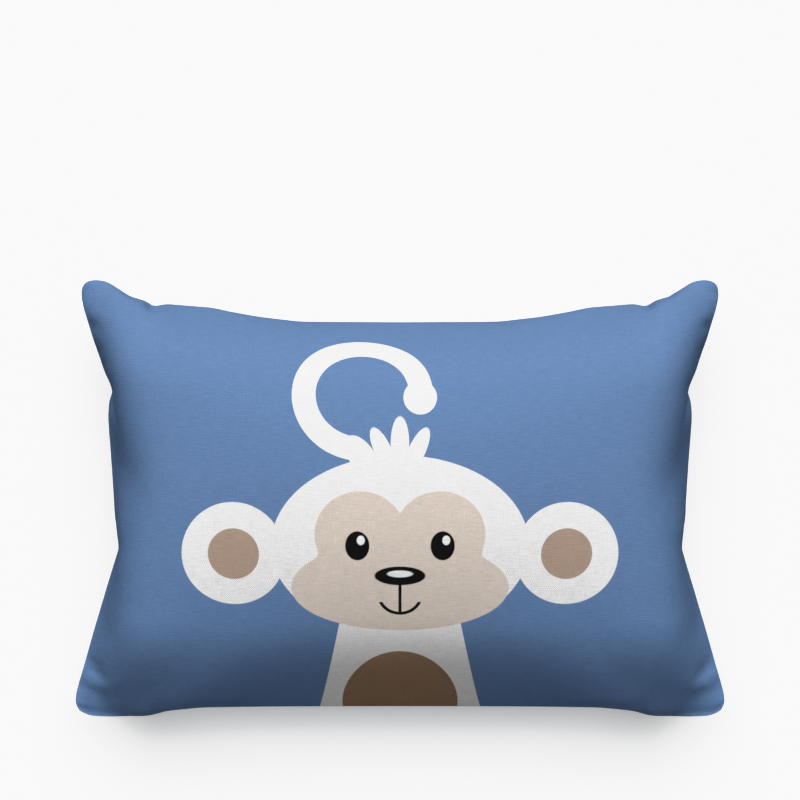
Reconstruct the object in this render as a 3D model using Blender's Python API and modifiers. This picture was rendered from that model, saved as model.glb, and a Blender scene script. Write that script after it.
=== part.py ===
"""A rectangular scatter cushion: a zipped fabric cover round a fibre-filled insert.

It lies on its back. +X runs along its length, +Y towards its top edge and +Z out of its front face.
The origin is on the surface it lies on, below the middle of its box. The zip runs along the bottom edge,
at -Y, between the two panels of the cover. Metres throughout.
"""

import math
from collections import namedtuple

import bmesh
import bpy
from mathutils import Matrix, Vector

MM = 0.001

# Plan of the cushion. The sides and edges pull in between the corners. The corner values are those of
# sharp corners, before CORNER_PULL rounds them.
TOP_CORNER_Y = 169.32 * MM
BOTTOM_CORNER_Y = 169.05 * MM
TOP_EDGE_Y = 133 * MM
BOTTOM_EDGE_Y = 156.4 * MM
HALF_WIDTH_BOTTOM = 249.95 * MM
HALF_WIDTH_TOP = 244.28 * MM
HALF_WAIST = 211.5 * MM
MEAN_HALF_HEIGHT = (TOP_EDGE_Y + BOTTOM_EDGE_Y) / 2
WAIST_CURVE_BOTTOM = 1.6
WAIST_CURVE_TOP = 2.2
TOP_EDGE_CURVE = 2.4
BOTTOM_EDGE_CURVE = 6.0
CORNER_PULL = 0.02
CORNER_SHARPNESS = 10

# Heights. The front crowns above the seam, and the back is pressed flat where it rests.
SEAM_Z = 66 * MM
FRONT_CROWN = 84 * MM
BACK_CROWN = 74 * MM
CROWN_CURVE = 2.2

# Cloth and seams.
FABRIC = 0.8 * MM
SEAM_HALF_GAP = 0.15 * MM
CLEAR = 0.3 * MM
LAYER_GAP = 1.2 * MM
RIM = 5 * MM
SKIRT_HEIGHT = 3.5 * MM
SEAM_ALLOWANCE = 9 * MM
INSERT_INSET = 17 * MM
INSERT_ALLOWANCE = 3.5 * MM
FILL_INSET = 3.5 * MM
THREAD = 0.6 * MM
THREAD_LEG = 2.5 * MM

# The zip. Depths are measured inwards, along +Y, from the outer face of the two lips of cloth.
ZIP_STRAIGHT = 192 * MM
ZIP_FADE_END = 222 * MM
THREAD_START = 235 * MM
ZIP_RIM = 11 * MM
LIP_RECESS = 4.6 * MM
LIP_Y = -BOTTOM_EDGE_Y + LIP_RECESS
SLIT_HALF = 1.1 * MM
CHAIN_HALF_LENGTH = 170 * MM
COIL_INNER, COIL_OUTER = 0.7 * MM, 2.3 * MM
COIL_NEAR, COIL_FAR = 2.5 * MM, 3.9 * MM
TAPE_THICKNESS = 0.5 * MM
TAPE_DEPTH = COIL_FAR + CLEAR + TAPE_THICKNESS / 2
STOP_LENGTH = 3 * MM
STOP_WALL = 0.4 * MM
BARTACK_X = 174 * MM
STITCH = 0.5 * MM
STITCH_PLACE = 0.55

# The slider and its pull tab.
SLIDER_LENGTH = 9 * MM
SLIDER_HALF_WIDTH = 3.5 * MM
SLIDER_PLATE = 1.0 * MM
SLIDER_NEAR = FABRIC + 0.4 * MM
FLANGE_WALL = 0.8 * MM
DIVIDER_HALF_WIDTH = 0.4 * MM
BRIDGE_HALF_WIDTH = 0.6 * MM
BRIDGE_HALF_LENGTH = 3.5 * MM
BRIDGE_WALL = 0.9 * MM
BRIDGE_TOP = -3.8 * MM
HINGE_DEPTH = -1.9 * MM
TAB_LENGTH = 22 * MM
TAB_HALF_THICKNESS = 0.45 * MM
TAB_EYE_HALF_WIDTH = 2.4 * MM
TAB_GRIP_HALF_WIDTH = 3.0 * MM
TAB_BAR = 0.6 * MM
TAB_WINDOW_END = 5.2 * MM
TAB_WINDOW_HALF_WIDTH = 1.0 * MM
STOP_X = CHAIN_HALF_LENGTH - STOP_LENGTH / 2
SLIDER_REST_X = STOP_X - STOP_LENGTH / 2 - SLIDER_LENGTH / 2 - CLEAR

# Which ring of a panel's mesh a point is on, kept in its Z while the mesh is still a flat grid.
DOME, SKIRT, SEAM, ALLOWANCE = 0, -1, -2, -3

# One layer: how far it stands inside the cover's outline, the inset of its seam allowance's edge, its
# crowns, and how high above the ground its pressed back lies. The cover's seam is turned, with its
# allowance inside. The insert's stands out flat.
Layer = namedtuple("Layer", "inset allowance front_crown back_crown ground has_zip")
LAYER_STEP = FABRIC + LAYER_GAP
COVER = Layer(0.0, SEAM_ALLOWANCE, FRONT_CROWN, BACK_CROWN, 0.0, True)
INSERT = Layer(
    INSERT_INSET,
    INSERT_INSET - INSERT_ALLOWANCE,
    FRONT_CROWN - LAYER_STEP,
    BACK_CROWN - LAYER_STEP,
    LAYER_STEP,
    False,
)
FILL = Layer(
    INSERT_INSET + FILL_INSET,
    INSERT_INSET + FILL_INSET,
    FRONT_CROWN - 2 * LAYER_STEP,
    BACK_CROWN - 2 * LAYER_STEP,
    2 * LAYER_STEP,
    False,
)
FRONT, BACK = 1, -1


# ---------------------------------------------------------------- shape of the cushion


def smoothstep(low, high, value):
    share = min(max((value - low) / (high - low), 0.0), 1.0)
    return share * share * (3 - 2 * share)


def plan_point(s, t):
    """Where the square's point (s, t), each from -1 to 1, lies in the cushion's plan."""
    pull = 1 - CORNER_PULL * abs(s * t) ** CORNER_SHARPNESS
    s, t = s * pull, t * pull
    corner, curve = (HALF_WIDTH_BOTTOM, WAIST_CURVE_BOTTOM) if t < 0 else (HALF_WIDTH_TOP, WAIST_CURVE_TOP)
    half_width = HALF_WAIST + (corner - HALF_WAIST) * abs(t) ** curve
    top = TOP_EDGE_Y + (TOP_CORNER_Y - TOP_EDGE_Y) * abs(s) ** TOP_EDGE_CURVE
    bottom = -BOTTOM_EDGE_Y - (BOTTOM_CORNER_Y - BOTTOM_EDGE_Y) * abs(s) ** BOTTOM_EDGE_CURVE
    return s * half_width, bottom + (top - bottom) * (1 + t) / 2


def inset_point(s, t, inset):
    """The plan point moved inwards so that the outline shrinks by inset all round."""
    return plan_point(s * (1 - inset / HALF_WAIST), t * (1 - inset / MEAN_HALF_HEIGHT))


def dome(s, t):
    """Share of the crown's height above the rim: 0 on the outline, upright there, and 1 in the middle."""
    return math.sqrt(max(1 - abs(s) ** CROWN_CURVE, 0) * max(1 - abs(t) ** CROWN_CURVE, 0))


def along_zip(x, t):
    """1 along the zip, fading to 0 past its ends and 0 on the other three sides."""
    return (1 - smoothstep(ZIP_STRAIGHT, ZIP_FADE_END, abs(x))) if t < -0.999 else 0.0


def cloth_point(u, v, ring, side, layer):
    """Where a point of a panel's flat grid goes. u and v run from -1 to 1, and ring is the point's ring."""
    s, t = math.sin(u * math.pi / 2), math.sin(v * math.pi / 2)
    crown = layer.front_crown if side == FRONT else layer.back_crown
    x, y = inset_point(s, t, layer.allowance if ring == ALLOWANCE else layer.inset)
    zipped = along_zip(x, t) if layer.has_zip else 0.0
    seam = SEAM_HALF_GAP + (FABRIC if layer.allowance < layer.inset else 0.0)
    height = {
        DOME: RIM + (crown - RIM) * dome(s, t) + (ZIP_RIM - RIM) * zipped,
        SKIRT: SKIRT_HEIGHT,
        SEAM: seam + (SLIT_HALF - seam) * zipped,
        ALLOWANCE: seam,
    }[ring]
    recess = zipped * (1 - smoothstep(SKIRT_HEIGHT, ZIP_RIM, height))
    y += (LIP_Y - y) * recess
    return Vector((x, y, max(SEAM_Z + side * height, layer.ground)))


# ---------------------------------------------------------------- helpers


def new_collection(name):
    collection = bpy.data.collections.new(name)
    bpy.context.scene.collection.children.link(collection)
    return collection


def new_material(name, colour, roughness, metallic=0.0):
    material = bpy.data.materials.new(name)
    material.use_nodes = True
    shader = material.node_tree.nodes["Principled BSDF"]
    shader.inputs["Base Color"].default_value = (*colour, 1)
    shader.inputs["Roughness"].default_value = roughness
    shader.inputs["Metallic"].default_value = metallic
    return material


def new_object(name, data, collection, material, parent=None):
    made = bpy.data.objects.new(name, data)
    collection.objects.link(made)
    data.materials.append(material)
    made.parent = parent
    return made


def mesh_from(bm, name):
    mesh = bpy.data.meshes.new(name)
    bm.to_mesh(mesh)
    bm.free()
    mesh.shade_smooth()
    mesh.set_sharp_from_angle(angle=math.radians(40))
    return mesh


def curve_from(name, outlines, closed=True, dimensions="2D"):
    """A curve of straight-sided splines, one for each list of points."""
    curve = bpy.data.curves.new(name, "CURVE")
    curve.dimensions = dimensions
    for points in outlines:
        spline = curve.splines.new("POLY")
        spline.points.add(len(points) - 1)
        for point, place in zip(spline.points, points):
            point.co = (*place, 0, 1)
        spline.use_cyclic_u = closed
    return curve


def plate_mesh(name, outlines, thickness):
    """A flat plate of a thickness about z = 0. Outlines inside the first are holes."""
    curve = curve_from(name, outlines)
    curve.fill_mode = "BOTH"
    curve.extrude = thickness / 2
    guide = bpy.data.objects.new(name + "_outline", curve)
    bpy.context.scene.collection.objects.link(guide)
    bpy.context.view_layer.update()
    mesh = bpy.data.meshes.new_from_object(guide.evaluated_get(bpy.context.evaluated_depsgraph_get()))
    bpy.data.objects.remove(guide)
    bm = bmesh.new()
    bm.from_mesh(mesh)
    bpy.data.meshes.remove(mesh)
    bmesh.ops.remove_doubles(bm, verts=bm.verts, dist=1e-6)
    bmesh.ops.recalc_face_normals(bm, faces=bm.faces)
    return mesh_from(bm, name)


def join(base, others):
    """Joins closed meshes to base with Boolean unions and removes them."""
    for other in others:
        union = base.modifiers.new("join_" + other.name, "BOOLEAN")
        union.operation = "UNION"
        union.solver = "EXACT"
        union.object = other
    bpy.context.view_layer.update()
    joined = bpy.data.meshes.new_from_object(base.evaluated_get(bpy.context.evaluated_depsgraph_get()))
    base.modifiers.clear()
    base.data = joined
    for other in others:
        bpy.data.objects.remove(other)


def rectangle(low_x, high_x, low_y, high_y):
    return [(low_x, low_y), (high_x, low_y), (high_x, high_y), (low_x, high_y)]


def arc(centre, radius, start, end, steps):
    """Points on an arc, with its angles in degrees."""
    angles = [math.radians(start + (end - start) * k / steps) for k in range(steps + 1)]
    return [(centre[0] + radius * math.cos(a), centre[1] + radius * math.sin(a)) for a in angles]


# A plate whose outline is given as (depth, height) and whose thickness runs along the zip.
ACROSS_ZIP = Matrix(((0, 0, 1), (1, 0, 0), (0, 1, 0))).to_4x4()
# A plate whose outline is given as (x, -height) and whose thickness runs inwards.
FACING_ZIP = Matrix.Rotation(-math.pi / 2, 4, "X")


def zip_place(x=0.0, depth=0.0):
    """A point of the zip's own frame: x along it, and depth inwards from the lips' outer face."""
    return Vector((x, LIP_Y + depth, SEAM_Z))


def zip_bar(name, outline, x, length, collection, material, parent):
    """A solid with one section, outline, all along a length of the zip centred on x."""
    bar = new_object(name, plate_mesh(name, [outline], length), collection, material, parent)
    bar.matrix_local = Matrix.Translation(zip_place(x)) @ ACROSS_ZIP
    return bar


# ---------------------------------------------------------------- cover, insert and fill


def panel(name, side, layer, columns, rows, collection, material, parent):
    """Half of a cover or casing: an open dome, an upright skirt and a seam allowance, thickened inwards."""
    bm = bmesh.new()
    bmesh.ops.create_grid(bm, x_segments=columns, y_segments=rows, size=1)
    for ring in (SKIRT, SEAM, ALLOWANCE):
        edges = [e for e in bm.edges if e.is_boundary]
        if ring == ALLOWANCE and layer.has_zip:
            edges = [e for e in edges if not in_zip(e)]
        made = bmesh.ops.extrude_edge_only(bm, edges=edges)["geom"]
        for vertex in (g for g in made if isinstance(g, bmesh.types.BMVert)):
            vertex.co.z = ring
    for vertex in bm.verts:
        u, v, ring = vertex.co
        vertex.co = cloth_point(u, v, round(ring), side, layer)
    bmesh.ops.recalc_face_normals(bm, faces=bm.faces)
    highest = max(bm.faces, key=lambda face: side * face.calc_center_median().z)
    if highest.normal.z * side < 0:
        bmesh.ops.reverse_faces(bm, faces=bm.faces)
    half = new_object(name, mesh_from(bm, name), collection, material, parent)
    cloth = half.modifiers.new("cloth", "SOLIDIFY")
    cloth.thickness = FABRIC
    cloth.offset = -1
    return half


def in_zip(edge):
    """Whether an edge of the flat grid lies along the zip, where the panels aren't sewn to each other."""
    middle = (edge.verts[0].co + edge.verts[1].co) / 2
    x = HALF_WIDTH_BOTTOM * math.sin(middle.x * math.pi / 2)
    return middle.y < -0.999 and abs(x) < ZIP_FADE_END


def fibre_fill(name, layer, columns, rows, collection, material, parent):
    """One solid between the two halves of the insert."""
    bm = bmesh.new()
    bmesh.ops.create_grid(bm, x_segments=columns, y_segments=rows, size=1)
    made = bmesh.ops.extrude_face_region(bm, geom=bm.faces[:])["geom"]
    back = {g for g in made if isinstance(g, bmesh.types.BMVert)}
    for vertex in bm.verts:
        side = BACK if vertex in back else FRONT
        vertex.co = cloth_point(vertex.co.x, vertex.co.y, DOME, side, layer)
    bmesh.ops.recalc_face_normals(bm, faces=bm.faces)
    return new_object(name, mesh_from(bm, name), collection, material, parent)


def outline_walk(columns, rows):
    """(s, t) of a panel's outline points, anticlockwise from the middle of its bottom edge."""
    across = [math.sin((2 * k / columns - 1) * math.pi / 2) for k in range(columns + 1)]
    upwards = [math.sin((2 * k / rows - 1) * math.pi / 2) for k in range(rows + 1)]
    bottom, right = [(s, -1) for s in across], [(1, t) for t in upwards]
    top, left = [(s, 1) for s in across[::-1]], [(-1, t) for t in upwards[::-1]]
    walk = bottom[:-1] + right[:-1] + top[:-1] + left[:-1]
    middle = columns // 2
    return walk[middle:] + walk[:middle]


def seam_thread(name, layer, columns, rows, collection, guides, material, parent):
    """The overlocked edge: thread in a C round the edges of two seam allowances that lie face to face."""
    walk = outline_walk(columns, rows)
    if layer.has_zip:
        walk = [(s, t) for s, t in walk if t > -1 or abs(s) * HALF_WIDTH_BOTTOM > THREAD_START]
    path = curve_from(name, [[inset_point(s, t, layer.allowance) for s, t in walk]], closed=not layer.has_zip)
    path.use_fill_caps = layer.has_zip
    inner = SEAM_HALF_GAP + FABRIC + CLEAR
    outer = inner + THREAD
    # The section's positive side is the one towards the seam: outwards on the cover's open path, and
    # inwards on the insert's closed one.
    leg, edge, web = THREAD_LEG, -CLEAR, -CLEAR - THREAD
    upper = [(web, outer), (leg, outer), (leg, inner), (edge, inner)]
    section = upper + [(along, -height) for along, height in upper[::-1]]
    profile = bpy.data.objects.new(name + "_section", curve_from(name + "_section", [section]))
    profile.hide_render = True
    profile.display_type = "WIRE"
    guides.objects.link(profile)
    path.bevel_mode = "OBJECT"
    path.bevel_object = profile
    thread = new_object(name, path, collection, material, parent)
    thread.location.z = SEAM_Z
    return thread


# ---------------------------------------------------------------- zip


def zip_stitching(name, side, columns, collection, material, parent):
    """The row of stitches that holds a tape, lying on the outer face of the cloth beside its lip."""
    points = []
    for k in range(columns + 1):
        u = 2 * k / columns - 1
        rim, lip = (cloth_point(u, -1, ring, side, COVER) for ring in (DOME, SKIRT))
        if along_zip(rim.x, -1) == 1:
            outwards = (rim - lip).cross(Vector((-side, 0, 0))).normalized()
            points.append(lip.lerp(rim, STITCH_PLACE) + outwards * (CLEAR + STITCH / 2))
    path = bpy.data.curves.new(name, "CURVE")
    path.dimensions = "3D"
    spline = path.splines.new("POLY")
    spline.points.add(len(points) - 1)
    for point, place in zip(spline.points, points):
        point.co = (*place, 1)
    path.bevel_depth = STITCH / 2
    path.bevel_resolution = 0
    path.use_fill_caps = True
    return new_object(name, path, collection, material, parent)


def tape_outline(side):
    """The tape's section: flat behind the coil, then out along the inside of the cloth it is sewn to."""
    half = TAPE_THICKNESS / 2
    line = [(TAPE_DEPTH, 0.7 * MM), (TAPE_DEPTH, 4.2 * MM), (2.2 * MM, 6.8 * MM), (-0.9 * MM, 10.6 * MM)]
    near = [(depth - half, height) for depth, height in line]
    far = [(depth + half, height) for depth, height in line]
    return [(depth, side * height) for depth, height in near + far[::-1]]


def coil_outline(side):
    """A coil row as the bar that its turns fill, with its edges taken off."""
    cut = 0.4 * MM
    low, high = COIL_INNER, COIL_OUTER
    corners = [
        (COIL_NEAR, low + cut),
        (COIL_NEAR + cut, low),
        (COIL_FAR - cut, low),
        (COIL_FAR, low + cut),
        (COIL_FAR, high - cut),
        (COIL_FAR - cut, high),
        (COIL_NEAR + cut, high),
        (COIL_NEAR, high - cut),
    ]
    return [(depth, side * height) for depth, height in corners]


def clip_outline(low, high):
    """A clip bent over the coil, open towards the tape. Its inner walls are at low and high."""
    top, wall = COIL_NEAR - CLEAR, STOP_WALL
    return [
        (top - wall, low - wall),
        (COIL_FAR, low - wall),
        (COIL_FAR, low),
        (top, low),
        (top, high),
        (COIL_FAR, high),
        (COIL_FAR, high + wall),
        (top - wall, high + wall),
    ]


def bartack_outline():
    """A bar of stitches that ties the two lips together."""
    near, far, half, cut = -0.9 * MM, -CLEAR, 2.6 * MM, 0.25 * MM
    upper = [(far, half), (near + cut, half), (near, half - cut)]
    return [(far, -half)] + upper + [(near, cut - half), (near + cut, -half)]


def slider_outlines():
    """Sections across the slider: the outer plate with its two flanges, and the inner plate."""
    face = SLIDER_NEAR + SLIDER_PLATE
    width, inner = SLIDER_HALF_WIDTH, SLIDER_HALF_WIDTH - FLANGE_WALL
    cut = 0.3 * MM
    upper = [
        (face, inner),
        (COIL_FAR, inner),
        (COIL_FAR, width),
        (SLIDER_NEAR + cut, width),
        (SLIDER_NEAR, width - cut),
    ]
    outer = [(depth, -height) for depth, height in upper[::-1]] + upper
    back = TAPE_DEPTH + TAPE_THICKNESS / 2 + CLEAR
    return outer, rectangle(back, back + SLIDER_PLATE, -width, width)


def slider(collection, material, parent):
    """The slider: two plates joined by the divider that parts the coils, and the tab's bridge."""
    outer, inner = slider_outlines()
    body = zip_bar("zip_slider", outer, SLIDER_REST_X, SLIDER_LENGTH, collection, material, parent)
    back_plate = zip_bar("slider_back", inner, SLIDER_REST_X, SLIDER_LENGTH, collection, material, parent)

    # The divider is a diamond at the end that leads as the zip closes.
    sink = 0.3 * MM
    near, far = SLIDER_NEAR + SLIDER_PLATE - sink, inner[0][0] + sink
    diamond = [(1.2 * MM, 0), (2.6 * MM, -DIVIDER_HALF_WIDTH), (4.0 * MM, 0), (2.6 * MM, DIVIDER_HALF_WIDTH)]
    block = plate_mesh("slider_divider", [diamond], far - near)
    divider = new_object("slider_divider", block, collection, material, parent)
    divider.matrix_local = Matrix.Translation(zip_place(SLIDER_REST_X, (near + far) / 2)) @ FACING_ZIP

    # The bridge is a staple in the plane of the zip, standing out through the slit.
    foot, half, wall = SLIDER_NEAR + sink, BRIDGE_HALF_LENGTH, BRIDGE_WALL
    cut = 0.7 * MM
    right = [
        (half - cut, BRIDGE_TOP),
        (half, BRIDGE_TOP + cut),
        (half, foot),
        (half - wall, foot),
        (half - wall, BRIDGE_TOP + wall),
    ]
    staple = right + [(-x, depth) for x, depth in right[::-1]]
    bar = plate_mesh("slider_bridge", [staple], 2 * BRIDGE_HALF_WIDTH)
    bridge = new_object("slider_bridge", bar, collection, material, parent)
    bridge.matrix_local = Matrix.Translation(zip_place(SLIDER_REST_X))
    bpy.context.view_layer.update()
    join(body, [back_plate, divider, bridge])
    return body


def tab_outlines():
    """The tab seen from outside, running along -X from its hinge: a long grip with a round end, and the
    window that lets the bridge through. Its bar, beside the hinge, lies under the bridge."""
    eye, grip, neck = TAB_EYE_HALF_WIDTH, TAB_GRIP_HALF_WIDTH, 1.7 * MM
    end = -TAB_LENGTH + grip
    upper = [(TAB_BAR, eye), (-TAB_WINDOW_END - 0.9 * MM, eye), (-8.5 * MM, neck), (end, grip)]
    lower = [(x, -height) for x, height in upper[::-1]]
    outer = upper + arc((end, 0), grip, 112, 248, 8) + lower
    half = TAB_WINDOW_HALF_WIDTH
    return [outer, rectangle(-TAB_WINDOW_END, -TAB_BAR, -half, half)]


def pull_tab(collection, material, hinge):
    """The pull tab, whose origin is on its hinge's axis."""
    plate = plate_mesh("zip_pull_tab", tab_outlines(), 2 * TAB_HALF_THICKNESS)
    tab = new_object("zip_pull_tab", plate, collection, material, hinge)
    tab.matrix_local = FACING_ZIP
    return tab


def zip_fastener(collection, cloth, metal, coil, thread, parent):
    """Everything of the zip, from its tapes to its tab."""
    length = 2 * CHAIN_HALF_LENGTH
    for label, side in (("front", FRONT), ("back", BACK)):
        zip_bar("zip_tape_" + label, tape_outline(side), 0, length, collection, cloth, parent)
        zip_bar("zip_coil_" + label, coil_outline(side), 0, length, collection, coil, parent)
        zip_stitching("zip_stitching_" + label, side, 24, collection, thread, parent)
        low, high = COIL_INNER - CLEAR, COIL_OUTER + CLEAR
        heights = (low, high) if side == FRONT else (-high, -low)
        thin = clip_outline(*heights)
        # The walls between the two stops are thinned so that the stops stay clear of each other.
        thin = [(depth, side * max(side * height, CLEAR / 2)) for depth, height in thin]
        zip_bar("zip_top_stop_" + label, thin, STOP_X, STOP_LENGTH, collection, metal, parent)
    wide = COIL_OUTER + CLEAR
    zip_bar("zip_bottom_stop", clip_outline(-wide, wide), -STOP_X, STOP_LENGTH, collection, metal, parent)
    for label, x in (("left", -BARTACK_X), ("right", BARTACK_X)):
        zip_bar("zip_bartack_" + label, bartack_outline(), x, 1.6 * MM, collection, thread, parent)
    slider(collection, metal, parent)
    hinge = bpy.data.objects.new("tab_hinge", None)
    collection.objects.link(hinge)
    hinge.location = zip_place(SLIDER_REST_X, HINGE_DEPTH)
    hinge.parent = parent
    pull_tab(collection, metal, hinge)


# ---------------------------------------------------------------- the whole cushion


def clear_scene():
    for existing in list(bpy.data.objects):
        bpy.data.objects.remove(existing)


def main():
    clear_scene()
    collection = new_collection("cushion")
    guides = new_collection("guides")
    cushion = bpy.data.objects.new("cushion_origin", None)
    collection.objects.link(cushion)

    printed = new_material("printed_cloth", (0.137, 0.245, 0.468), 0.85)
    plain = new_material("plain_cloth", (0.137, 0.245, 0.468), 0.85)
    casing = new_material("casing_cloth", (0.8, 0.8, 0.78), 0.9)
    fibre = new_material("polyester_fibre", (0.9, 0.9, 0.9), 0.95)
    thread = new_material("sewing_thread", (0.12, 0.22, 0.42), 0.8)
    tape = new_material("zip_tape", (0.10, 0.19, 0.38), 0.85)
    nylon = new_material("nylon_coil", (0.10, 0.19, 0.38), 0.45)
    metal = new_material("zip_metal", (0.55, 0.56, 0.58), 0.35, metallic=1.0)

    panel("front_panel", FRONT, COVER, 24, 18, collection, printed, cushion)
    panel("back_panel", BACK, COVER, 24, 18, collection, plain, cushion)
    seam_thread("cover_seam_thread", COVER, 24, 18, collection, guides, thread, cushion)
    panel("insert_casing_front", FRONT, INSERT, 18, 12, collection, casing, cushion)
    panel("insert_casing_back", BACK, INSERT, 18, 12, collection, casing, cushion)
    seam_thread("insert_seam_thread", INSERT, 18, 12, collection, guides, thread, cushion)
    fibre_fill("fibre_fill", FILL, 18, 12, collection, fibre, cushion)
    zip_fastener(collection, tape, metal, nylon, thread, cushion)


main()
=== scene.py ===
"""The looks of the scatter cushion: simulated cloth, its print, its seams and its zip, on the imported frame.

The cushion lies on its back and is seen from straight above, with +Y at the top of the picture. Metres
throughout, but for the seam's outline and the print, which are in millimetres.
"""

import math

import bmesh
import bpy
import numpy as np
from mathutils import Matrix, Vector


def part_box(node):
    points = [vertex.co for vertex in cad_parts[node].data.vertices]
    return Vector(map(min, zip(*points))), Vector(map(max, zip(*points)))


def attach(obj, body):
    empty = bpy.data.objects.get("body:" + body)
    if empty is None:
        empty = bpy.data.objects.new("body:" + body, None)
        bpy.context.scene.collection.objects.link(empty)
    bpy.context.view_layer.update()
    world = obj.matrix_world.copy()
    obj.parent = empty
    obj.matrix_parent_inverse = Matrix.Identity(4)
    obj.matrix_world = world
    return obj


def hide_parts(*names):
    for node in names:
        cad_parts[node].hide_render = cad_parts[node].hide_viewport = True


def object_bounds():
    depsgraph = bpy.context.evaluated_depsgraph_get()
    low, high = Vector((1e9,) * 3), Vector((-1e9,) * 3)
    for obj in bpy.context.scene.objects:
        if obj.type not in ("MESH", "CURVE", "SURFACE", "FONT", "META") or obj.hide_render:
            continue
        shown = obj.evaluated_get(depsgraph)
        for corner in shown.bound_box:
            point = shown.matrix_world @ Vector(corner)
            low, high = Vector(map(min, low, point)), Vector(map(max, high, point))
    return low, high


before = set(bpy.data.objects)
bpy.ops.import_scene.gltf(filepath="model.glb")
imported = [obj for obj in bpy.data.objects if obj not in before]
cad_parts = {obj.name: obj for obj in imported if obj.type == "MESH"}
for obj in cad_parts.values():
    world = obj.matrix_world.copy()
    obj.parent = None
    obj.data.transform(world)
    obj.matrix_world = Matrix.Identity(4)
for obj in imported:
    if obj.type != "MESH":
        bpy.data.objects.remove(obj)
cad_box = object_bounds()

MM = 0.001
FRONT, BACK = 0, 1

# Places taken from the frame: the slider is centred on the seam, and stands BRIDGE_REACH out of the lips.
BRIDGE_REACH = 3.8 * MM
slider_low, slider_high = (np.array(corner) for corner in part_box("zip_slider"))
SEAM_Z = float(slider_low[2] + slider_high[2]) / 2
LIP_Y = float(slider_low[1]) + BRIDGE_REACH
CHAIN_HALF_LENGTH = float(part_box("zip_tape_front")[1][0])
HALF_WIDTH = float(cad_box[1][0])
HALF_HEIGHT = float(cad_box[1][1])

# The cover as cut, inside its seams, and what is turned in.
FLAT_WIDTH, FLAT_HEIGHT = 500 * MM, 350 * MM

# The right half of the outline that the filled cushion's seam takes, in millimetres, from the middle of the
# bottom to the middle of the top: straight along the zip, plump at the corners, and tucked in where the folds
# run out.
HALF_OUTLINE = (
    (0, -155.6),
    (148, -155.8),
    (171, -157.4),
    (181, -161.6),
    (203, -164),
    (230, -163.4),
    (238.5, -160.5),
    (243, -154),
    (242, -146),
    (227, -93),
    (215.5, -55),
    (208, -31),
    (212.5, -14),
    (216.5, 40),
    (218, 60),
    (217.2, 74),
    (213.8, 82),
    (219.5, 93),
    (230, 122),
    (236, 142),
    (238.5, 154),
    (236.5, 161.5),
    (229, 164.8),
    (218, 163),
    (201, 151.5),
    (189, 148.5),
    (184, 143.8),
    (176, 146.3),
    (140, 143.5),
    (127, 140.5),
    (105, 136.5),
    (75, 132.8),
    (0, 132.4),
)
OUTLINE_ROUNDING = 4

# The zip. Its rims bulge over it as far as ZIP_STRAIGHT, and close up to ZIP_FADE_END.
ZIP_STRAIGHT, ZIP_FADE_END = 180 * MM, 215 * MM
ZIP_RIM = 8 * MM
SLIT_HALF = 1.1 * MM
# Past the bartacks the two lips are sewn to each other.
SLIT_END, SLIT_SEWN = 176 * MM, 184 * MM

# Simulation: the first grid's cells, and the steps and the stiffness against bending on each finer grid.
COLUMNS, ROWS = 20, 14
STEPS = (600, 500, 400, 300)
BEND = (0.0, 0.03, 0.06, 0.10)
SHEAR = 0.25
PRESSURE = 0.06
DAMPING = 0.92
# The sheets start as two domes, so far above and below the seam.
START_FRONT, START_BACK = 70 * MM, 60 * MM
START_CURVE = 2.2
# The jitter is a share of a cell.
JITTER = 0.01
SEED = 3
# How firmly the seam keeps to its outline in the plan and to its height, and at its corners.
SEAM_HOLD_PLAN, SEAM_HOLD_HEIGHT = 0.5, 0.05
CORNER_HOLD = (1, 1, 0.5)
# The lowest that a sheet's middle may lie, which is just above the ground.
LOWEST = 0.6 * MM
TINY = 1e-12

# Calming: from where to where, inwards from the seam, the smoothing across it sets in; how often it is done;
# and how far the seam's dents carry.
CALM_START, CALM_FULL = 25 * MM, 120 * MM
CALM_PASSES = 70
CALM_RATE = 0.4
# Near a corner the smoothing is full up to the first distance, and has faded at the second, in cells.
CALM_CORNER = (3, 10)
DENT_PASSES = 120
DENT_RATE = 0.8
FOLD = 26 * MM

# Soft creases that run inwards from the seam's dents, in millimetres on the flat cloth's right half: from
# where, to where, and how deep.
CREASES = (
    ((191, 175), (186, 136), 2.2),
    ((250, 89), (216, 52), 3.2),
    ((188, -175), (179, -146), 1.8),
    ((250, -33), (220, -40), 2.0),
)
CREASE_WIDTH = 5.0
CREASE_CLEAR = 6 * MM

# The fill pushes out most in front of each corner: how high, how wide, and how far in from both edges.
PLUMP_HEIGHT = 6 * MM
PLUMP_RADIUS = 38 * MM
PLUMP_INSET = 48 * MM
PLUMP_CLEAR = 12 * MM

# It also rounds out the front's flanks: how high beside the two sides and beside the bottom edge, how far
# this leans outwards, how wide and how far in it is, and where it fades towards the corners.
FLANK_SIDE_RISE = 10 * MM
FLANK_BOTTOM_RISE = 2 * MM
FLANK_RADIUS = 38 * MM
FLANK_INSET = 62 * MM
FLANK_LEAN = 0.3
FLANK_CLEAR = 25 * MM
FLANK_FADE = (20 * MM, 90 * MM)

# And it lifts the front as a whole: how high, and over what width this sets in beside the two sides.
FRONT_RISE = 6 * MM
FRONT_RISE_WIDTH = 42 * MM

# The last few millimetres are flatter, because the seam allowance lies inside them.
KNIFE_WIDTH = 5 * MM
KNIFE_SHARE = 0.25
KNIFE_ZIP_ROWS = 20 * MM

# The three rings outside a sheet, after the sheet itself: how far each is turned in, and how far it stands
# off the seam, in millimetres. Both shrink to TRIM_SHARE at the corners, within the distances of TRIM.
RING_INSET = (0, 0.4, 3.0, 6.0)
RING_GAP = (0, 0.30, 0.35, 0.35)
TRIM = (10 * MM, 40 * MM)
TRIM_SHARE = 0.05

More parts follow.
